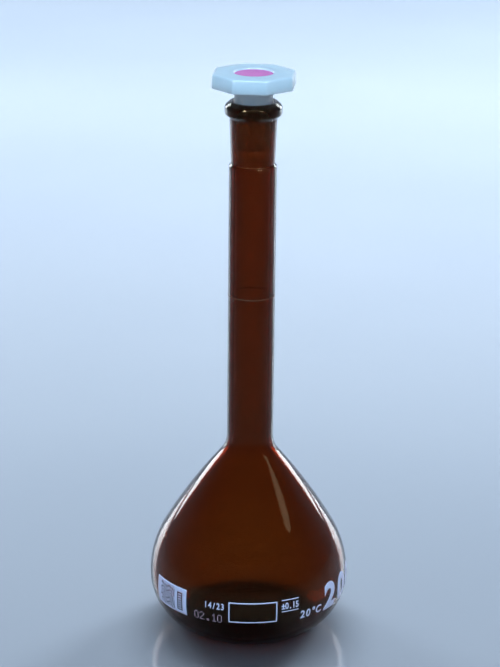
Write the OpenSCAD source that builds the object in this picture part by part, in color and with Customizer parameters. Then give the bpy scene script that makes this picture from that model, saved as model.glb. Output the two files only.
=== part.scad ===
// Amber volumetric flask, 200 ml, with a conical 14/23 socket and a hollow octagonal stopper.
// Millimetres. The origin is the middle of the foot, on the surface the flask stands on, and
// +Z runs up the neck. The blank field in the row of printed marks faces -Y.

/* [Bulb] */
// Largest outer radius of the bulb
bulb_r = 39.1; // [38:0.1:40]
// Height of the largest radius
bulb_z = 20.5; // [19.5:0.1:21.5]
// Radius of the side below the largest radius
lower_r = 22.5; // [21.5:0.1:23.5]
// Radius of the side above the largest radius
upper_r = 38.8; // [38:0.1:39.5]
// Radius of the long shoulder that runs up to the neck
shoulder_r = 220; // [200:5:240]
// Angle round the upper side at which the shoulder starts
shoulder_a = 30; // [28:1:31]
// Radius of the sweep from the shoulder into the neck
neck_fillet_r = 11; // [8:0.5:13]
// Radius of the knuckle between the side and the foot
knuckle_r = 6; // [5:0.5:7]
// Width of the flat ring that the flask stands on
foot_w = 1.6; // [1:0.1:3]
// Height of the pushed-up middle of the base
punt_h = 3; // [2:0.25:4]
// Thickness of the bulb's wall
wall = 1.9; // [1.5:0.1:2.2]

/* [Neck] */
// Outer radius of the neck
neck_r = 9; // [8.8:0.05:9.2]
// Inner radius of the neck
bore_r = 6.6; // [6.3:0.05:6.8]
// Height of the ring mark for 200 ml
mark_z = 136.3; // [130:0.1:142]
// Height of the glass, foot to rim
glass_h = 211.2; // [208:0.1:213]

/* [Socket 14/23] */
// Large diameter of the conical socket
cone_d = 14.5; // [14.5:0.1:14.6]
// Length of the ground cone
cone_l = 23; // [20:1:23]
// Wall of the socket tube
socket_wall = 2.15; // [2:0.05:2.2]
// Radius of the bead round the rim
bead_r = 10.7; // [10.2:0.1:11]
// Height of the bead
bead_h = 6.3; // [5.5:0.1:7]

/* [Stopper] */
// Width of the head across its flats
head_w = 30; // [28:0.5:31]
// Thickness of the head
head_t = 5.4; // [4.5:0.1:6]
// Turn of the head about the neck
head_turn = -6; // [-22:1:22]
// Clear height between rim and head
head_gap = 5.4; // [5:0.1:7]
// Wall of the hollow shank
shank_wall = 1.3; // [1:0.1:1.6]
// Radius of the coloured insert
insert_r = 7.3; // [6.5:0.1:7.6]
// Thickness of the coloured insert
insert_t = 1.2; // [1:0.1:1.6]

/* [Printed marks] */
// Thickness of the fired enamel
ink_t = 0.12; // [0.1:0.01:0.2]
// Middle height of the row of marks
row_z = 20.4; // [19:0.1:21]
// Height of the large capacity figures
capacity_h = 10.8; // [9:0.1:11]
// Height of the joint size and of the limits of error
small_h = 2.6; // [2.2:0.1:2.8]
// Height of the batch figures and of the reference temperature
medium_h = 3.5; // [3:0.1:3.7]

/* [Hidden] */
$fn = 96;

taper = 1 / 20;              // radius lost for each millimetre down a 1:10 cone
cone_gap = 0.08;             // clearance between shank and socket
rim_chamfer = 0.6;           // inside the mouth
rim_slope = [1.9, 1.6];      // width and height of the slope from the rim down to the bead's side
bead_land = 3.1;             // straight side of the bead
socket_step = 1.2;           // rounding where the neck draws in to the socket
mark_h = 0.4;
arc_step = 4;                // turn past a joint at which the next arc of an outline starts
overlap = 1;                 // how far a cutting shape runs past the solid it cuts

// Turn of each printed mark about the bulb, in degrees from -Y towards +X
panel_az = -51;
batch_az = -23.5;
socket_size_az = -19.6;
field_az = 2.8;
tolerance_az = 24.6;
temperature_az = 38.8;
capacity_az = 69.3;
unit_az = 99;

// Turn from one figure to the next
capacity_pitch = 14.3;
unit_pitch = 7.6;
medium_pitch = 3.9;
batch_pitch = 3.6;
size_pitch = 2.5;
tolerance_pitch = 2.15;

// Heights of the lines of figures above and below the middle of the row
upper_line = 2.1;
lower_line = -3.2;
capacity_line = 0.4;
unit_line = -2;

bold = 1.3;                  // weight of a stroke on a figure 6 high
plain = 0.9;
fine = 0.6;
wide = 0.85;                 // width of a figure, as a share of its field
narrow = 0.65;
slim = 0.55;

rule_w = 7.2;                // rules above and below the limits of error
rule_t = 0.32;
field = [19, 8.6];           // width and height of the blank field
field_line = 0.5;
panel = [18.2, 11];          // width and height of the code panel
cell = 1;
cell_pitch = 1.3;
cells_w = 9;                 // width of the window that holds the cells
cells_at = [-1.8, -0.3];     // middle of the cells, from the middle of the panel
rungs = [2.8, 7.6];          // width and height of the window that holds the rungs
rungs_at = [5.6, -0.3];
rung = [1.9, 0.5];
rung_pitch = 1;

mouth_r = cone_d / 2;
cone_top = glass_h - rim_chamfer;
cone_low = cone_top - cone_l;
cone_low_r = mouth_r - cone_l * taper;
bead_low = glass_h - bead_h;
socket_low = cone_low - 0.7;
head_low = glass_h + head_gap;
head_top = head_low + head_t;
shank_low = head_low - cone_l;          // the shank is as long as the ground cone
core_top = head_top - insert_t - 1.4;   // end of the hollow in the stopper

low_c = [bulb_r - lower_r, bulb_z];
up_c = [bulb_r - upper_r, bulb_z];
foot_r = low_c.x + sqrt(pow(lower_r - knuckle_r, 2) - pow(bulb_z - knuckle_r, 2));
knuckle_c = [foot_r, knuckle_r];
knuckle_a = atan2(knuckle_r - bulb_z, foot_r - low_c.x);
shoulder_c = up_c + (upper_r - shoulder_r) * [cos(shoulder_a), sin(shoulder_a)];

// Points along an arc about c, from angle a0 to a1
function arc(c, r, a0, a1, n) = [for (i = [0:n]) let (a = a0 + (a1 - a0) * i / n) c + r * [cos(a), sin(a)]];

// Side of the bulb from the knuckle to the shoulder's foot, set in by a wall's thickness
function belly(inset) = concat(
    arc(low_c, lower_r - inset, knuckle_a, 0, 12),
    arc(up_c, upper_r - inset, arc_step, shoulder_a, 7));

// Middle of the sweep that joins the shoulder, set in by inset, to a neck of radius r
function sweep_c(inset, r, fillet) = [r + fillet,
    shoulder_c.y + sqrt(pow(shoulder_r - inset + fillet, 2) - pow(r + fillet - shoulder_c.x, 2))];

// Shoulder and sweep, up to the straight neck
function shoulder(inset, r, fillet) =
    let (c = sweep_c(inset, r, fillet))
    let (a = atan2(c.y - shoulder_c.y, c.x - shoulder_c.x))
    concat(
        arc(shoulder_c, shoulder_r - inset, shoulder_a + 1, a, 6),
        arc(c, fillet, a + 180 - arc_step, 180, 8));

// Arc through the middle of a dome of height h over radius r, whose rim is at height z
function dome(r, h, z) =
    let (dome_r = (r * r + h * h) / (2 * h))
    arc([0, z + h - dome_r], dome_r, 90, atan2(dome_r - h, r), 8);

function reverse(points) = [for (i = [len(points) - 1:-1:0]) points[i]];

outer_wall = concat(
    dome(foot_r - foot_w, punt_h, 0),
    arc(knuckle_c, knuckle_r, -90, knuckle_a - arc_step, 5),
    belly(0),
    shoulder(0, neck_r, neck_fillet_r),
    arc([neck_r - socket_step, socket_low - socket_step], socket_step, 0, 60, 4),
    [[cone_low_r + socket_wall, socket_low + 0.6],
     [mouth_r + socket_wall - 0.5 * bead_h * taper - 0.3, bead_low],
     [bead_r, glass_h - rim_slope.y - bead_land],
     [bead_r, glass_h - rim_slope.y],
     [bead_r - rim_slope.x, glass_h],
     [mouth_r + rim_chamfer, glass_h]]);

inner_wall = concat(
    dome(foot_r - foot_w, punt_h, wall),
    arc(knuckle_c, knuckle_r - wall, -90, knuckle_a - arc_step, 5),
    belly(wall),
    shoulder(wall, bore_r, neck_fillet_r + wall),
    [[bore_r, cone_low - 2],
     [cone_low_r, cone_low],
     [mouth_r, cone_top]]);

module flask_glass() {
    color("#3c1805")
    rotate_extrude()
    polygon(concat(outer_wall, reverse(inner_wall)));
}

// Ring mark, a thin brown line fired on to the neck
module ring_mark() {
    color("#4d210d")
    translate([0, 0, mark_z - mark_h / 2])
    difference() {
        cylinder(h = mark_h, r = neck_r + ink_t);
        translate([0, 0, -overlap]) cylinder(h = mark_h + 2 * overlap, r = neck_r);
    }
}

// Skin of enamel that a flat outline, seen square on at turn az and height z, leaves on the bulb
module enamel(az, z) {
    intersection() {
        rotate_extrude() polygon(concat(belly(0), reverse(belly(-ink_t))));
        rotate([0, 0, az])
        translate([0, -bulb_r / 2, z])
        rotate([90, 0, 0])
        linear_extrude(bulb_r)
        children();
    }
}

// Strokes of each figure on a field 4 wide and 6 high; a closed stroke ends where it starts
function strokes(figure) =
    figure == "0" ? [[[1, 0], [3, 0], [4, 1], [4, 5], [3, 6], [1, 6], [0, 5], [0, 1], [1, 0]]]
    : figure == "1" ? [[[2, -0.4], [2, 6.4]], [[0.8, 4.8], [2, 5.8]]]
    : figure == "2" ? [[[0, 4.6], [0, 5], [1, 6], [3, 6], [4, 5], [4, 4], [0.4, 0.2]], [[-0.4, 0], [4.4, 0]]]
    : figure == "3" ? [[[0, 5.2], [1, 6], [3, 6], [4, 5], [4, 4], [3, 3.1], [4, 2.2], [4, 1], [3, 0], [1, 0],
                        [0, 0.8]],
                       [[1.4, 3.1], [3, 3.1]]]
    : figure == "4" ? [[[3, -0.4], [3, 6.4]], [[2.9, 6], [0.2, 2]], [[-0.2, 1.8], [4.2, 1.8]]]
    : figure == "5" ? [[[4, 6], [0.3, 6], [0.3, 3.5], [3, 3.5], [4, 2.5], [4, 1], [3, 0], [0, 0]]]
    : figure == "/" ? [[[0.5, -0.5], [3.5, 6.5]]]
    : figure == "." ? [[[2, 0], [2, 0.8]]]
    : figure == "+" ? [[[0, 3.6], [4, 3.6]], [[2, 1.6], [2, 5.6]], [[0, 0.2], [4, 0.2]]]
    : figure == "o" ? [[[0, 4], [2, 4], [2, 6], [0, 6], [0, 4]]]
    : figure == "C" ? [[[4, 5], [3, 6], [1, 6], [0, 5], [0, 1], [1, 0], [3, 0], [4, 1]]]
    : figure == "m" ? [[[0, 0], [0, 4], [1.6, 4], [2, 3.4], [2, 0]],
                       [[2, 3.4], [2.4, 4], [3.6, 4], [4, 3.4], [4, 0]]]
    : figure == "l" ? [[[0.6, 0], [0.6, 6]]]
    : [];

function unit(v) = v / norm(v);
function left_of(v) = [-v.y, v.x];

// Where a stroke's edge turns at point i, offset to the left by d
function edge_point(path, i, d, closed) =
    let (last = len(path) - 1)
    let (before = i > 0 ? path[i] - path[i - 1] : closed ? path[last] - path[last - 1] : path[1] - path[0])
    let (after = i < last ? path[i + 1] - path[i] : closed ? path[1] - path[0] : before)
    let (n = unit(left_of(unit(before)) + left_of(unit(after))))
    path[i] + n * d / (n * left_of(unit(after)));

function edge(path, d, closed) = [for (i = [0:len(path) - 1]) edge_point(path, i, d, closed)];

module stroke(path, width) {
    closed = path[0] == path[len(path) - 1];
    if (closed) {
        difference() {
            polygon(edge(path, -width / 2, true));
            polygon(edge(path, width / 2, true));
        }
    } else {
        polygon(concat(edge(path, width / 2, false), reverse(edge(path, -width / 2, false))));
    }
}

// One figure of height h, centred on the origin, its field narrowed to the given share
module figure_outline(figure, h, weight, share) {
    scale(h / 6)
    translate([-2 * share, -3])
    for (path = strokes(figure)) stroke([for (p = path) [p.x * share, p.y]], weight);
}

// A row of figures centred at turn az, each on its own tangent to the bulb
module figure_row(figures, az, line, h, pitch, weight, share) {
    for (i = [0:len(figures) - 1])
        enamel(az + (i - (len(figures) - 1) / 2) * pitch, row_z + line)
        figure_outline(figures[i], h, weight, share);
}

module capacity_figures() {
    color("#cfc9ee")
    figure_row("200", capacity_az, capacity_line, capacity_h, capacity_pitch, bold, wide);
}

module capacity_unit() {
    color("#cfc9ee")
    figure_row("ml", unit_az, unit_line, capacity_h / 2, unit_pitch, plain, 1);
}

module temperature_mark() {
    color("#cfc9ee")
    figure_row("20oC", temperature_az, lower_line, medium_h, medium_pitch, plain, narrow);
}

// Limits of error between two rules
module tolerance_mark() {
    color("#cfc9ee") {
        figure_row("+0.15", tolerance_az, upper_line, small_h, tolerance_pitch, plain, slim);
        for (side = [-1, 1])
            enamel(tolerance_az, row_z + upper_line + side * 0.9 * small_h)
            square([rule_w, rule_t], center = true);
    }
}

module socket_size_mark() {
    color("#cfc9ee")
    figure_row("14/23", socket_size_az, upper_line, small_h, size_pitch, plain, narrow);
}

module batch_figures() {
    color("#c9a9bd")
    figure_row("02.10", batch_az, lower_line, medium_h, batch_pitch, fine, narrow);
}

// A plain ruled box to write in
module blank_field() {
    color("#cfc9ee")
    enamel(field_az, row_z)
    difference() {
        square(field, center = true);
        square(field - 2 * [field_line, field_line], center = true);
    }
}

module code_panel() {
    color("#cfc9ee")
    enamel(panel_az, row_z)
    difference() {
        square(panel, center = true);
        translate(cells_at) square(cells_w, center = true);
        translate(rungs_at) square(rungs, center = true);
    }
}

// A plain pattern of square cells, which carries no data
module code_cells() {
    color("#cfc9ee")
    enamel(panel_az, row_z)
    translate(cells_at)
    for (i = [-3:3], j = [-3:3])
        if ((i * i + 2 * j * j + i * j) % 3 == 0)
            translate([i, j] * cell_pitch) square(0.8 * cell, center = true);
}

// Rungs of a plain scale beside the cells
module code_rungs() {
    color("#cfc9ee")
    enamel(panel_az, row_z)
    translate(rungs_at)
    for (i = [-3:3])
        translate([0, i * rung_pitch]) square(rung, center = true);
}

// Radius of the shank at height z: the socket's cone less the clearance
function shank_r(z) = mouth_r - cone_gap + (z - cone_top) * taper;

module stopper_shell() {
    color("#dcecf5")
    difference() {
        union() {
            translate([0, 0, head_low])
            rotate([0, 0, head_turn + 22.5])
            linear_extrude(head_t)
            circle(d = head_w / cos(22.5), $fn = 8);
            translate([0, 0, shank_low])
            cylinder(h = head_low - shank_low, r1 = shank_r(shank_low), r2 = shank_r(head_low));
        }
        translate([0, 0, shank_low - overlap])
        cylinder(h = core_top - shank_low + overlap, r1 = shank_r(shank_low - overlap) - shank_wall,
                 r2 = shank_r(core_top) - shank_wall);
        translate([0, 0, head_top - insert_t])
        cylinder(h = insert_t + overlap, r = insert_r);
    }
}

module stopper_insert() {
    color("#e0439a")
    translate([0, 0, head_top - insert_t])
    cylinder(h = insert_t - 0.2, r = insert_r);
}

flask_glass();
ring_mark();
capacity_figures();
capacity_unit();
temperature_mark();
tolerance_mark();
socket_size_mark();
batch_figures();
blank_field();
code_panel();
code_cells();
code_rungs();
stopper_shell();
stopper_insert();
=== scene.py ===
import math

import bmesh
import bpy
from mathutils import Matrix, Vector


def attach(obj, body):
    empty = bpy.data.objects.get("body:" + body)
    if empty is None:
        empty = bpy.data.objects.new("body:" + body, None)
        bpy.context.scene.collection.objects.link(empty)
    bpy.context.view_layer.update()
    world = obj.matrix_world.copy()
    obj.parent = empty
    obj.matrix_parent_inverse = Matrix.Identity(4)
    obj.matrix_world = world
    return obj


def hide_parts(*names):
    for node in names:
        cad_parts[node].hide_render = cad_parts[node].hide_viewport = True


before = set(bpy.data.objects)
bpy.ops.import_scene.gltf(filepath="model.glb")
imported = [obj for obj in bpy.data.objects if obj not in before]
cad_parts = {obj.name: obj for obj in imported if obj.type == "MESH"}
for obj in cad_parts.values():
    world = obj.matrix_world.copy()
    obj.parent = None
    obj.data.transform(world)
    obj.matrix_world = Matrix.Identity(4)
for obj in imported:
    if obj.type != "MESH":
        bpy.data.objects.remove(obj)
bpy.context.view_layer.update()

# Driving dimensions, in millimetres. They are those of the CAD model, except that the bulb is a
# hair smaller (BULB_R) and its marks are thinner (INK_T), which keeps them inside its box.
MM = 0.001
BULB_R, BULB_Z = 39.07, 20.5
LOWER_R, UPPER_R = 22.5, 38.8
SHOULDER_R, SHOULDER_A = 220, 30
SWEEP_R = 11
KNUCKLE_R = 6
FOOT_W, PUNT_H = 1.6, 3
WALL = 1.9
NECK_R, BORE_R = 9, 6.6
MARK_Z, MARK_H = 136.3, 0.4
GLASS_H = 211.2
CONE_TOP_R, CONE_LOW_R, CONE_L = 7.25, 6.1, 23
SOCKET_WALL = 2.15
RIM_CHAMFER = 0.6
SLOPE_W, SLOPE_H = 1.9, 1.6
BEAD_R, BEAD_H, BEAD_LAND = 10.7, 6.3, 3.1
TAPER = 1 / 20
CONE_GAP = 0.08
HEAD_W, HEAD_T, HEAD_TURN = 30, 5.4, -6
HEAD_GAP = 5.4
INSERT_R, INSERT_T = 7.3, 1.2
SHANK_WALL = 1.3
INK_T = 0.07
ROW_Z = 20.4

CONE_TOP = GLASS_H - RIM_CHAMFER
CONE_LOW = CONE_TOP - CONE_L
SOCKET_LOW = CONE_LOW - 0.7
HEAD_LOW = GLASS_H + HEAD_GAP
HEAD_TOP = HEAD_LOW + HEAD_T

SEGMENTS = 160      # steps round the axis of every turned piece


# ---------------------------------------------------------------- outlines

def arc(centre, radius, start, end, step=2.5):
    """Points along an arc in the (radius, height) plane; angles in degrees."""
    count = max(2, round(abs(end - start) / step))
    angles = [math.radians(start + (end - start) * i / count) for i in range(count + 1)]
    return [(centre[0] + radius * math.cos(a), centre[1] + radius * math.sin(a)) for a in angles]


def rounded(points, radii):
    """The open outline through points, each inner corner rounded with its own radius."""
    out = [points[0]]
    for before, corner, after, radius in zip(points, points[1:], points[2:], radii):
        corner, before, after = Vector(corner), Vector(before), Vector(after)
        to_before, to_after = (before - corner).normalized(), (after - corner).normalized()
        half = math.acos(max(-1, min(1, to_before.dot(to_after)))) / 2
        shorter = min((before - corner).length, (after - corner).length)
        reach = min(radius / math.tan(half), shorter * 0.49)
        steps = 5
        for i in range(steps + 1):
            t = i / steps
            a = corner + to_before * reach
            b = corner + to_after * reach
            out.append(tuple(a * (1 - t) ** 2 + corner * 2 * t * (1 - t) + b * t * t))
    return out + [points[-1]]


LOW_C = (BULB_R - LOWER_R, BULB_Z)
UP_C = (BULB_R - UPPER_R, BULB_Z)
FOOT_R = LOW_C[0] + math.sqrt((LOWER_R - KNUCKLE_R) ** 2 - (BULB_Z - KNUCKLE_R) ** 2)
KNUCKLE_A = math.degrees(math.atan2(KNUCKLE_R - BULB_Z, FOOT_R - LOW_C[0]))
SHOULDER_C = (UP_C[0] + (UPPER_R - SHOULDER_R) * math.cos(math.radians(SHOULDER_A)),
              UP_C[1] + (UPPER_R - SHOULDER_R) * math.sin(math.radians(SHOULDER_A)))


def bulb_side(inset, neck, sweep):
    """Side of the bulb from the foot's knuckle to the neck, set in by a wall's thickness."""
    reach = SHOULDER_R - inset + sweep
    middle = (neck + sweep, SHOULDER_C[1] + math.sqrt(reach ** 2 - (neck + sweep - SHOULDER_C[0]) ** 2))
    turn = math.degrees(math.atan2(middle[1] - SHOULDER_C[1], middle[0] - SHOULDER_C[0]))
    return (arc((FOOT_R, KNUCKLE_R), KNUCKLE_R - inset, -90, KNUCKLE_A, 5)
            + arc(LOW_C, LOWER_R - inset, KNUCKLE_A, 0)[1:]
            + arc(UP_C, UPPER_R - inset, 0, SHOULDER_A)[1:]
            + arc(SHOULDER_C, SHOULDER_R - inset, SHOULDER_A, turn, 0.7)[1:]
            + arc(middle, sweep, turn + 180, 180)[1:])


def dome(radius, height, base):
    """Arc from the axis down to the rim of a low dome."""
    ball = (radius ** 2 + height ** 2) / (2 * height)
    return arc((0, base + height - ball), ball, 90, math.degrees(math.atan2(ball - height, radius)), 4)


def outer_wall():
    """Outside of the glass, from the middle of the base up to the mouth of the socket."""
    foot = dome(FOOT_R - FOOT_W, PUNT_H, 0)
    step = 1.2          # rounding where the neck draws in to the socket
    top = [(NECK_R, SOCKET_LOW - 3),
           (NECK_R, SOCKET_LOW - 0.1),
           (CONE_LOW_R + SOCKET_WALL, SOCKET_LOW + 0.7),
           (CONE_TOP_R + SOCKET_WALL - 0.5 * BEAD_H * TAPER - 0.3, GLASS_H - BEAD_H),
           (BEAD_R, GLASS_H - SLOPE_H - BEAD_LAND),
           (BEAD_R, GLASS_H - SLOPE_H),
           (BEAD_R - SLOPE_W, GLASS_H),
           (CONE_TOP_R + RIM_CHAMFER, GLASS_H),
           (CONE_TOP_R, CONE_TOP)]
    radii = [step, 0.6, 0.8, 1.0, 2.0, 0.8, 0.4]
    return foot[:-1] + bulb_side(0, NECK_R, SWEEP_R) + rounded(top, radii)


def inner_wall():
    """Inside of the glass, from the middle of the base up to halfway along the socket."""
    floor = dome(FOOT_R - FOOT_W, PUNT_H, WALL)
    cone = [(BORE_R, CONE_LOW - 6), (BORE_R, CONE_LOW - 2), (CONE_LOW_R, CONE_LOW)]
    halfway = (CONE_TOP_R - 12 * TAPER, CONE_TOP - 12)
    return floor[:-1] + bulb_side(WALL, BORE_R, SWEEP_R + WALL) + rounded(cone, [1.5]) + [halfway]


def bulb_radius(z):
    """Outer radius of the bulb where its marks are printed."""
    side = LOWER_R if z < BULB_Z else UPPER_R
    return BULB_R - side + math.sqrt(side ** 2 - (z - BULB_Z) ** 2)


# ---------------------------------------------------------------- meshes

PIECES = []         # every piece of the object, in the order it is made


def finish_mesh(bm, name, material, body, *nodes, slot=None):
    """Turns bm into a piece that rides on body and stands for nodes."""
    bmesh.ops.recalc_face_normals(bm, faces=bm.faces)
    mesh = bpy.data.meshes.new(name)
    bm.to_mesh(mesh)
    bm.free()
    mesh.materials.append(material)
    mesh.shade_smooth()
    piece = bpy.data.objects.new(name, mesh)
    bpy.context.collection.objects.link(piece)
    if body:
        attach(piece, body)
        PIECES.append(piece)
    if nodes:
        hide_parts(*nodes)
    return piece


def loft(rings, centres=(None, None)):
    """A mesh through rings of points, closed at either end by a fan to its centre point."""
    bm = bmesh.new()
    made = [[bm.verts.new(p) for p in ring] for ring in rings]
    for low, high in zip(made, made[1:]):
        for i in range(len(low)):
            j = (i + 1) % len(low)
            bm.faces.new((low[i], low[j], high[j], high[i]))
    for ring, centre in zip((made[0], made[-1]), centres):
        if centre is not None:
            tip = bm.verts.new(centre)
            for i in range(len(ring)):
                bm.faces.new((ring[i], ring[(i + 1) % len(ring)], tip))
    return bm


def circle_ring(radius, z, count=SEGMENTS):
    """Points round the axis, in metres, from a radius and a height in millimetres."""
    turns = [2 * math.pi * i / count for i in range(count)]
    return [(radius * MM * math.cos(a), radius * MM * math.sin(a), z * MM) for a in turns]


def turned(outline):
    """A closed solid of revolution from an outline that starts and ends on the axis."""
    (_, first), (_, last) = outline[0], outline[-1]
    rings = [circle_ring(r, z) for r, z in outline[1:-1]]
    return loft(rings, ((0, 0, first * MM), (0, 0, last * MM)))


# ---------------------------------------------------------------- materials

def new_material(name):
    """A material with its Principled shader, and its node tree."""
    material = bpy.data.materials.new(name)
    material.use_nodes = True
    tree = material.node_tree
    return material, tree, tree.nodes["Principled BSDF"]


def noise(tree, scale, detail, distortion=0.0):
    """Noise over the object's own coordinates; scale is in features per metre."""
    place = tree.nodes.new("ShaderNodeTexCoord")
    node = tree.nodes.new("ShaderNodeTexNoise")
    node.inputs["Scale"].default_value = scale
    node.inputs["Detail"].default_value = detail
    node.inputs["Distortion"].default_value = distortion
    tree.links.new(place.outputs["Object"], node.inputs["Vector"])
    return node.outputs["Fac"]


def ramp(tree, fac, low, high, start=0.3, end=0.7):
    """Colour that goes from low to high as fac goes from start to end."""
    node = tree.nodes.new("ShaderNodeValToRGB")
    node.color_ramp.elements[0].position = start
    node.color_ramp.elements[1].position = end
    node.color_ramp.elements[0].color = (*low, 1)
    node.color_ramp.elements[1].color = (*high, 1)
    tree.links.new(fac, node.inputs["Fac"])
    return node.outputs["Color"]


def span(tree, fac, low, high):
    """Number that goes from low to high as fac goes from 0 to 1."""
    node = tree.nodes.new("ShaderNodeMapRange")
    node.inputs["To Min"].default_value = low
    node.inputs["To Max"].default_value = high
    tree.links.new(fac, node.inputs["Value"])
    return node.outputs["Result"]


def bump(tree, shader, fac, distance, strength=1.0):
    """Relief on the shader's surface, distance high in metres where fac goes from 0 to 1."""
    node = tree.nodes.new("ShaderNodeBump")
    node.inputs["Strength"].default_value = strength
    node.inputs["Distance"].default_value = distance
    tree.links.new(fac, node.inputs["Height"])
    tree.links.new(node.outputs["Normal"], shader.inputs["Normal"])


def amber_glass():
    """Borosilicate glass, amber all through, with a ground and so frosted socket."""
    material, tree, shader = new_material("amber_glass")
    shader.inputs["Base Color"].default_value = (1, 1, 1, 1)
    shader.inputs["Transmission Weight"].default_value = 1
    shader.inputs["IOR"].default_value = 1.473
    shader.inputs["Specular Tint"].default_value = (0.82, 0.62, 0.32, 1)
    ground = tree.nodes.new("ShaderNodeAttribute")
    ground.attribute_name = "ground"
    tree.links.new(span(tree, ground.outputs["Fac"], 0.0, 0.4), shader.inputs["Roughness"])
    bump(tree, shader, noise(tree, 45, 1), 0.00012)
    absorption = tree.nodes.new("ShaderNodeVolumeAbsorption")
    absorption.inputs["Color"].default_value = (0.74, 0.475, 0.02, 1)
    absorption.inputs["Density"].default_value = 1920
    tree.links.new(absorption.outputs["Volume"], tree.nodes["Material Output"].inputs["Volume"])
    return material


def fired_enamel(name, pale, dark):
    """Screen-printed enamel: satin, slightly uneven in tone, with a fine grain."""
    material, tree, shader = new_material(name)
    tree.links.new(ramp(tree, noise(tree, 900, 3), dark, pale, 0.3, 0.55), shader.inputs["Base Color"])
    tree.links.new(span(tree, noise(tree, 2500, 2), 0.38, 0.6), shader.inputs["Roughness"])
    bump(tree, shader, noise(tree, 6000, 2), 0.00002, 0.5)
    return material


def polyethylene(name, pale, dark, subsurface, transmission):
    """Moulded polyethylene: waxy and soft, with faint flow marks."""
    material, tree, shader = new_material(name)
    flow = noise(tree, 120, 3, distortion=0.6)
    tree.links.new(ramp(tree, flow, dark, pale), shader.inputs["Base Color"])
    tree.links.new(span(tree, noise(tree, 800, 3), 0.3, 0.45), shader.inputs["Roughness"])
    shader.inputs["IOR"].default_value = 1.51
    shader.inputs["Subsurface Weight"].default_value = subsurface
    shader.inputs["Subsurface Radius"].default_value = (1, 1, 1)
    shader.inputs["Subsurface Scale"].default_value = 0.006
    shader.inputs["Transmission Weight"].default_value = transmission
    bump(tree, shader, noise(tree, 2200, 3), 0.00003, 0.6)
    return material


def brown_stain():
    """A faint brown line, fired into the surface, barely lighter than the glass under it."""
    material, tree, shader = new_material("brown_stain")
    tree.links.new(ramp(tree, noise(tree, 900, 2), (0.066, 0.026, 0.010), (0.090, 0.037, 0.015)),
                   shader.inputs["Base Color"])
    tree.links.new(span(tree, noise(tree, 2500, 2), 0.45, 0.6), shader.inputs["Roughness"])
    shader.inputs["Specular IOR Level"].default_value = 0.15
    return material


GLASS = amber_glass()
STAIN = brown_stain()
ENAMEL = fired_enamel("white_enamel", (0.82, 0.74, 0.88), (0.72, 0.65, 0.80))
PINK_INK = fired_enamel("pink_ink", (0.72, 0.44, 0.50), (0.56, 0.32, 0.38))
NATURAL_PE = polyethylene("natural_polyethylene", (0.86, 0.93, 0.97), (0.81, 0.90, 0.95), 0.8, 0.3)
PINK_PE = polyethylene("pink_polyethylene", (0.92, 0.16, 0.46), (0.84, 0.13, 0.40), 0.2, 0.0)


# ---------------------------------------------------------------- flask

def make_flask():
    """The glass as one turned solid, with its ground socket marked for the material."""
    outline = outer_wall() + list(reversed(inner_wall()))
    bm = turned(outline)
    ground = bm.verts.layers.float.new("ground")
    for vert in bm.verts:
        r, z = math.hypot(vert.co.x, vert.co.y) / MM, vert.co.z / MM
        vert[ground] = float(r < CONE_TOP_R + 0.01 and CONE_LOW - 0.1 < z)
    finish_mesh(bm, "flask_body", GLASS, "flask", "flask_glass", slot="amber_glass")


make_flask()

# ---------------------------------------------------------------- ring mark

def make_ring_mark():
    """The ring: a thin fired line with rounded edges, seated on the neck."""
    half = MARK_H / 2
    outline = [(NECK_R, -half), (NECK_R + INK_T * 0.8, -half * 0.8), (NECK_R + INK_T, 0),
               (NECK_R + INK_T * 0.8, half * 0.8), (NECK_R, half)]
    rings = [circle_ring(r, MARK_Z + z) for r, z in outline]
    bm = loft(rings)
    low, high = list(bm.verts)[:SEGMENTS], list(bm.verts)[-SEGMENTS:]
    for i in range(SEGMENTS):
        j = (i + 1) % SEGMENTS
        bm.faces.new((low[i], high[i], high[j], low[j]))
    finish_mesh(bm, "fired_ring", STAIN, "flask", "ring_mark", slot="brown_stain")


make_ring_mark()

# ---------------------------------------------------------------- printed marks

CORNERS = ((-1, -1), (1, -1), (1, 1), (-1, 1))      # of a box, going round it


def flat_text(body, height, weight):
    """Outline of text as a flat mesh, centred, its figures height high."""
    curve = bpy.data.curves.new("figures", "FONT")
    curve.body = body
    curve.size = 1
    curve.offset = weight
    curve.align_x = "CENTER"
    curve.fill_mode = "FRONT"
    curve.resolution_u = 6
    holder = bpy.data.objects.new("figures", curve)
    bpy.context.collection.objects.link(holder)
    bpy.context.view_layer.update()
    mesh = holder.evaluated_get(bpy.context.evaluated_depsgraph_get()).to_mesh()
    bm = bmesh.new()
    bm.from_mesh(mesh)
    holder.to_mesh_clear()
    bpy.data.objects.remove(holder)
    bpy.data.curves.remove(curve)
    bmesh.ops.remove_doubles(bm, verts=bm.verts, dist=1e-5)
    tall = 0.729            # height of a figure in this font at size 1
    for vert in bm.verts:
        vert.co = Vector((vert.co.x, vert.co.y - tall / 2, 0)) * (height / tall)
    return bm


def add_box(bm, width, height, x, y):
    """Adds a box centred on x, y to a flat mesh."""
    corners = [(x + sx * width / 2, y + sy * height / 2, 0) for sx, sy in CORNERS]
    bm.faces.new([bm.verts.new(c) for c in corners])


def flat_frame(width, height, line):
    """A frame line wide inside a box of the given width and height."""
    bm = bmesh.new()
    loops = []
    for across, up in ((width, height), (width - 2 * line, height - 2 * line)):
        loops.append([bm.verts.new((sx * across / 2, sy * up / 2, 0)) for sx, sy in CORNERS])
    for i in range(4):
        j = (i + 1) % 4
        bm.faces.new((loops[0][i], loops[0][j], loops[1][j], loops[1][i]))
    return bm


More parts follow.
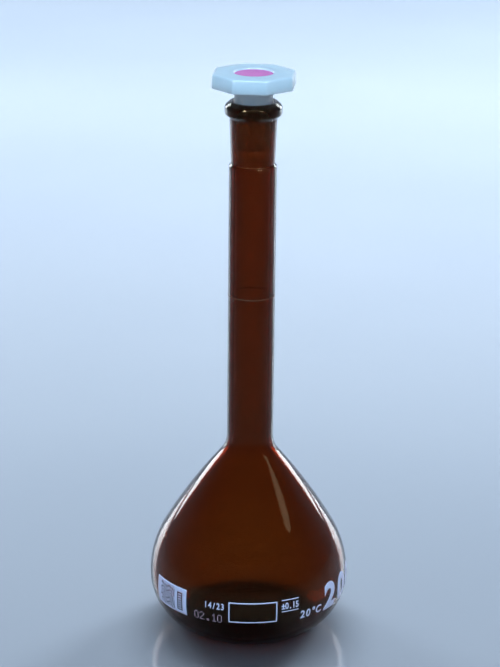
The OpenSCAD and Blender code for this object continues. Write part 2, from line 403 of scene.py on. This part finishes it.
def wrap(bm, az, z, pitch=0.8):
    """Cuts a flat outline into small faces, gives it the ink's thickness and wraps it on the bulb."""
    for axis in (0, 1):
        values = [v.co[axis] for v in bm.verts]
        low, high = min(values), max(values)
        normal = Vector((1, 0, 0)) if axis == 0 else Vector((0, 1, 0))
        for i in range(1, math.ceil((high - low) / pitch)):
            geometry = list(bm.verts) + list(bm.edges) + list(bm.faces)
            cut = normal * (low + i * pitch)
            bmesh.ops.bisect_plane(bm, geom=geometry, plane_co=cut, plane_no=normal, dist=1e-6)
    made = bmesh.ops.extrude_face_region(bm, geom=list(bm.faces))["geom"]
    for element in made:
        if isinstance(element, bmesh.types.BMVert):
            element.co.z = 1
    for vert in bm.verts:
        x, y, lifted = vert.co
        turn = math.radians(az) + x / BULB_R
        radius = (bulb_radius(z + y) + INK_T * lifted) * MM
        vert.co = (radius * math.sin(turn), -radius * math.cos(turn), (z + y) * MM)
    return bm


def printed(name, node, bm, az, line=0.0, material=None, slot="white_enamel"):
    """A printed mark on the bulb, turned az degrees from the front, line above the row's middle."""
    finish_mesh(wrap(bm, az, ROW_Z + line), name, material or ENAMEL, "flask", node, slot=slot)


def figures(body, height, pitch, weight, share=1.0):
    """Figures as a flat mesh, pitch degrees apart round the bulb, each narrowed by share."""
    bm = bmesh.new()
    for place, figure in enumerate(body):
        one = flat_text(figure, height, weight)
        across = [v.co.x for v in one.verts]
        middle = (min(across) + max(across)) / 2
        move = math.radians((place - (len(body) - 1) / 2) * pitch) * BULB_R
        for vert in one.verts:
            vert.co.x = (vert.co.x - middle) * share + move
        mesh = bpy.data.meshes.new("figure")
        one.to_mesh(mesh)
        one.free()
        bm.from_mesh(mesh)
        bpy.data.meshes.remove(mesh)
    return bm


SMALL_H, MEDIUM_H, CAPACITY_H = 2.6, 3.4, 10.8
UPPER_LINE, LOWER_LINE = 2.1, -3.2
CAPACITY_LINE, UNIT_LINE = 0.4, -2
RULE_W, RULE_T = 7.2, 0.36
FIELD_W, FIELD_H, FIELD_LINE = 19, 8.6, 0.5

# Turn of each printed mark about the bulb, in degrees from the front
PANEL_AZ, BATCH_AZ, SOCKET_SIZE_AZ, FIELD_AZ = -51, -23.5, -19.6, 2.8
TOLERANCE_AZ, TEMPERATURE_AZ, CAPACITY_AZ, UNIT_AZ = 24.6, 38.8, 69.3, 99

capacity = figures("200", CAPACITY_H, pitch=14.3, weight=0.045)
unit = figures("ml", CAPACITY_H / 2, pitch=7.6, weight=0.03)
temperature = figures("20°C", MEDIUM_H, pitch=3.9, weight=0.03, share=0.92)
socket_size = figures("14/23", SMALL_H, pitch=2.5, weight=0.025, share=0.8)
tolerance = figures("±0.15", SMALL_H, pitch=2.15, weight=0.03, share=0.8)
for side in (-1, 1):
    add_box(tolerance, RULE_W, RULE_T, 0, side * 0.9 * SMALL_H)

printed("print_capacity", "capacity_figures", capacity, CAPACITY_AZ, CAPACITY_LINE)
printed("print_unit", "capacity_unit", unit, UNIT_AZ, UNIT_LINE)
printed("print_temperature", "temperature_mark", temperature, TEMPERATURE_AZ, LOWER_LINE)
printed("print_socket_size", "socket_size_mark", socket_size, SOCKET_SIZE_AZ, UPPER_LINE)
printed("print_tolerance", "tolerance_mark", tolerance, TOLERANCE_AZ, UPPER_LINE)
printed("print_blank_field", "blank_field", flat_frame(FIELD_W, FIELD_H, FIELD_LINE), FIELD_AZ)

# Code panel: a filled box with two windows, one for the cells and one for the rungs
PANEL_W, PANEL_H = 18.2, 11
CELLS_X, RUNGS_X, WINDOWS_Y = -1.8, 5.6, -0.3
CELLS_W = 9
RUNGS_W, RUNGS_H = 2.8, 7.6
RUNG_W, RUNG_T, RUNG_PITCH = 1.9, 0.5, 1
CELL_COUNT = 24


def make_panel():
    """Strips that leave the two windows open."""
    left, right = -PANEL_W / 2, PANEL_W / 2
    cells = (CELLS_X - CELLS_W / 2, CELLS_X + CELLS_W / 2)
    rungs = (RUNGS_X - RUNGS_W / 2, RUNGS_X + RUNGS_W / 2)
    columns = [left, *cells, *rungs, right]
    rows = [-PANEL_H / 2, WINDOWS_Y - CELLS_W / 2, WINDOWS_Y - RUNGS_H / 2,
            WINDOWS_Y + RUNGS_H / 2, WINDOWS_Y + CELLS_W / 2, PANEL_H / 2]
    bm = bmesh.new()
    corners = [[bm.verts.new((x, y, 0)) for x in columns] for y in rows]
    for j in range(len(rows) - 1):
        for i in range(len(columns) - 1):
            in_cells = i == 1 and 1 <= j <= 3
            in_rungs = i == 3 and j == 2
            if not in_cells and not in_rungs:
                low, high = corners[j], corners[j + 1]
                bm.faces.new((low[i], low[i + 1], high[i + 1], high[i]))
    return bm


def make_cells():
    """A plain repeating pattern of square cells, which carries no data."""
    size = CELLS_W / CELL_COUNT
    bm = bmesh.new()
    for i in range(CELL_COUNT):
        for j in range(CELL_COUNT):
            if (5 * i * i + 8 * j * j + 5 * i * j) % 13 < 7:
                x = CELLS_X + (i + 0.5) * size - CELLS_W / 2
                y = WINDOWS_Y + (j + 0.5) * size - CELLS_W / 2
                add_box(bm, size * 0.86, size * 0.86, x, y)
    return bm


def make_rungs():
    """A ladder of plain rungs."""
    bm = bmesh.new()
    for i in range(-3, 4):
        add_box(bm, RUNG_W, RUNG_T, RUNGS_X, WINDOWS_Y + i * RUNG_PITCH)
    return bm


printed("print_code_panel", "code_panel", make_panel(), PANEL_AZ)
printed("print_code_cells", "code_cells", make_cells(), PANEL_AZ)
printed("print_code_rungs", "code_rungs", make_rungs(), PANEL_AZ)

# Batch figures, printed as dots; each row of a figure is written from the top
DOTS = {
    "0": ("0110", "1001", "1001", "1001", "1001", "1001", "0110"),
    "1": ("0010", "0110", "0010", "0010", "0010", "0010", "0111"),
    "2": ("0110", "1001", "0001", "0010", "0100", "1000", "1111"),
    ".": ("0000", "0000", "0000", "0000", "0000", "0110", "0110"),
}


def dotted(body, pitch, dot, advance):
    """A line of figures made of round dots of radius dot, advance apart from figure to figure."""
    turns = [math.pi * i / 5 for i in range(10)]
    bm = bmesh.new()
    for place, figure in enumerate(body):
        start = (place - (len(body) - 1) / 2) * advance
        for row, line in enumerate(DOTS[figure]):
            for column, mark in enumerate(line):
                if mark == "1":
                    x, y = start + (column - 1.5) * pitch, (3 - row) * pitch
                    bm.faces.new([bm.verts.new((x + dot * math.cos(a), y + dot * math.sin(a), 0))
                                  for a in turns])
    return bm


batch = dotted("02.10", pitch=0.52, dot=0.2, advance=2.46)
printed("print_batch", "batch_figures", batch, BATCH_AZ, LOWER_LINE, PINK_INK, "pink_ink")

# ---------------------------------------------------------------- stopper

def octagon_ring(half_width, z, softness):
    """A ring round an octagon of the given half width, its corners softer for a lower softness."""
    normals = [math.radians(HEAD_TURN + 45 * k) for k in range(8)]
    ring = []
    for i in range(SEGMENTS):
        angle = 2 * math.pi * i / SEGMENTS
        facing = [max(0, math.cos(angle - normal)) ** softness for normal in normals]
        radius = half_width / sum(facing) ** (1 / softness)
        ring.append((radius * MM * math.cos(angle), radius * MM * math.sin(angle), z * MM))
    return ring


def shank_radius(z):
    """Outer radius of the shank, which sits in the socket with a small gap all round."""
    return CONE_TOP_R - CONE_GAP + (z - CONE_TOP) * TAPER


def make_stopper():
    """The hollow moulding as one closed loft: up the core, round the shank and over the head."""
    half = HEAD_W / 2
    low = HEAD_LOW - CONE_L
    core_top = HEAD_TOP - INSERT_T - 1.4
    crisp, soft = 110, 60
    root = shank_radius(HEAD_LOW)
    waist = 200         # a height part of the way up the shank

    core = [(shank_radius(z) - SHANK_WALL, z) for z in (core_top - 1, waist, low + 0.3)]
    shank = [(shank_radius(low) - SHANK_WALL + 0.25, low), (shank_radius(low) - 0.3, low),
             (shank_radius(low + 0.3), low + 0.3), (shank_radius(waist), waist),
             (shank_radius(HEAD_LOW - 0.9), HEAD_LOW - 0.9),
             (root + 0.15, HEAD_LOW - 0.2), (root + 0.9, HEAD_LOW)]
    # Inset from the flats and height, from the underside of the head to its top
    head = [(4, HEAD_LOW), (0.5, HEAD_LOW), (0.18, HEAD_LOW + 0.1), (0.03, HEAD_LOW + 0.4),
            (0.08, HEAD_LOW + 2), (0.2, HEAD_TOP - 0.8), (0.3, HEAD_TOP - 0.35),
            (0.55, HEAD_TOP - 0.08), (0.9, HEAD_TOP - 0.02), (4, HEAD_TOP - 0.1)]
    # Raised lip round the recess, and the recess that the insert fills
    recess = [(INSERT_R + 1.3, HEAD_TOP - 0.15), (INSERT_R + 0.9, HEAD_TOP - 0.03),
              (INSERT_R + 0.35, HEAD_TOP - 0.03), (INSERT_R + 0.05, HEAD_TOP - 0.25),
              (INSERT_R, HEAD_TOP - INSERT_T), (INSERT_R / 2, HEAD_TOP - INSERT_T)]

    rings = [circle_ring(0.5 * core[0][0], core_top), circle_ring(core[0][0] - 0.8, core_top)]
    rings += [circle_ring(r, z) for r, z in core + shank]
    rings += [octagon_ring(half - inset, z, crisp if inset < 0.5 else soft) for inset, z in head]
    rings += [circle_ring(r, z) for r, z in recess]
    bm = loft(rings, ((0, 0, core_top * MM), (0, 0, (HEAD_TOP - INSERT_T) * MM)))
    finish_mesh(bm, "hollow_stopper", NATURAL_PE, "stopper", "stopper_shell",
                slot="natural_polyethylene")


def make_insert():
    """The coloured disc, a little below the lip and faintly dished."""
    radius = INSERT_R - 0.04
    low, high = HEAD_TOP - INSERT_T, HEAD_TOP - 0.55
    outline = [(0, low), (radius, low), (radius, high - 0.3), (radius - 0.1, high - 0.1),
               (radius - 0.35, high), (radius - 1, high - 0.05), (radius / 2, high - 0.12),
               (0, high - 0.14)]
    finish_mesh(turned(outline), "colour_insert", PINK_PE, "stopper", "stopper_insert",
                slot="pink_polyethylene")


make_stopper()
make_insert()

# ---------------------------------------------------------------- floor, light and camera

def make_floor():
    """A pale round sweep: a flat floor whose edge curves up into a low wall."""
    material, tree, shader = new_material("pale_floor")
    tone = ramp(tree, noise(tree, 3, 2), (0.42, 0.47, 0.54), (0.45, 0.50, 0.57))
    tree.links.new(tone, shader.inputs["Base Color"])
    tree.links.new(span(tree, noise(tree, 60, 3), 0.10, 0.13), shader.inputs["Roughness"])
    flat, bend, top, steps = 2.2, 0.6, 1.6, 96
    turns = [math.pi / 2 * i / 12 for i in range(13)]
    path = [(flat + bend * math.sin(a), bend - bend * math.cos(a)) for a in turns]
    path.append((flat + bend, top))
    rings = [circle_ring(r / MM, z / MM, steps) for r, z in path]
    floor = finish_mesh(loft(rings, ((0, 0, 0), None)), "floor", material, None)
    return floor


FLASK_MIDDLE = (0, 0, 0.1)
COOL, BLUE = (0.80, 0.90, 1.0), (0.38, 0.69, 1.0)


def aim(thing, azimuth, elevation, distance, target):
    """Puts a light in a direction from the target, facing the target; azimuth 0 is in front."""
    a, e = math.radians(azimuth), math.radians(elevation)
    away = Vector((math.sin(a) * math.cos(e), -math.cos(a) * math.cos(e), math.sin(e)))
    thing.location = Vector(target) + away * distance
    thing.rotation_euler = away.to_track_quat("Z", "Y").to_euler()


def softbox(name, azimuth, elevation, distance, width, height, brightness, colour, target=FLASK_MIDDLE):
    """A box of light, in metres, whose face has the given brightness however large it is."""
    light = bpy.data.lights.new(name, "AREA")
    light.shape = "RECTANGLE"
    light.size, light.size_y = width, height
    light.energy = brightness * math.pi * width * height
    light.color = colour
    holder = bpy.data.objects.new(name, light)
    holder.visible_camera = False
    bpy.context.collection.objects.link(holder)
    aim(holder, azimuth, elevation, distance, target)
    return holder


def light_only(name, lights, things):
    """Makes the lights shine on the given things and on nothing else."""
    group = bpy.data.collections.new(name)
    for thing in things:
        group.objects.link(thing)
    for light in lights:
        light.light_linking.receiver_collection = group


def make_lights(floor):
    """Light for the floor, strips that edge the glass in white, and light for the flask alone."""
    # Each box after its name: azimuth, elevation, distance, width, height, brightness, colour
    turn = 38           # of the strips behind and of the lamps in front, to either side
    backdrop = softbox("backdrop", 180, 55, 1.8, 1.3, 0.9, 10.5, COOL)
    backdrop.rotation_euler = (math.radians(20), 0, 0)
    light_only("floor_only", [backdrop], [floor])
    for side in (-1, 1):
        softbox(f"rim_strip_{side + 2}", 180 + turn * side, 16, 1.6, 0.45, 1.0, 8, COOL)

    overhead = softbox("overhead", 180, 75, 1.8, 1.0, 0.8, 3.0, BLUE)
    fill = softbox("fill", 0, 45, 1.2, 0.8, 0.8, 8.8, BLUE)
    for box in (overhead, fill):
        box.visible_glossy = box.visible_transmission = False

    # Two small lamps that only leave a bright dot each on the bead and on the neck's step
    rim = (0, 0, GLASS_H * MM)
    lamps = [softbox(f"lamp_{side + 2}", turn * side, 36, 0.21, 0.055, 0.055, 170, COOL, rim)
             for side in (-1, 1)]
    for lamp in lamps:
        lamp.visible_diffuse = lamp.visible_transmission = False

    # Its reflection is the long drop of light on the shoulder
    side_lamp = softbox("side_lamp", 73.5, 33.6, 1.0, 0.33, 0.2, 1.5, COOL)
    side_lamp.data.shape = "ELLIPSE"
    side_lamp.rotation_euler.rotate_axis("Z", math.radians(31))
    light_only("flask_only", [overhead, fill, side_lamp, *lamps], PIECES)


make_lights(make_floor())

world = bpy.data.worlds.new("studio")
world.use_nodes = True
world.node_tree.nodes["Background"].inputs["Color"].default_value = (0.70, 0.83, 1.0, 1)
world.node_tree.nodes["Background"].inputs["Strength"].default_value = 0.15
scene = bpy.context.scene
scene.world = world
scene.view_settings.view_transform = "Standard"

# The camera stands in front of the flask and looks down on it, leaning a little to one side
CAMERA_AT = (-0.0004, -0.750, 0.387)
CAMERA_DOWN, CAMERA_LEAN = 19.59, 0.63
CAMERA_LENS = 112.05
camera_data = bpy.data.cameras.new("camera")
camera_data.sensor_width = 36
camera_data.lens = CAMERA_LENS
camera = bpy.data.objects.new("camera", camera_data)
bpy.context.collection.objects.link(camera)
camera.matrix_world = (Matrix.Translation(CAMERA_AT)
                       @ Matrix.Rotation(math.radians(90 - CAMERA_DOWN), 4, "X")
                       @ Matrix.Rotation(math.radians(CAMERA_LEAN), 4, "Z"))
scene.camera = camera
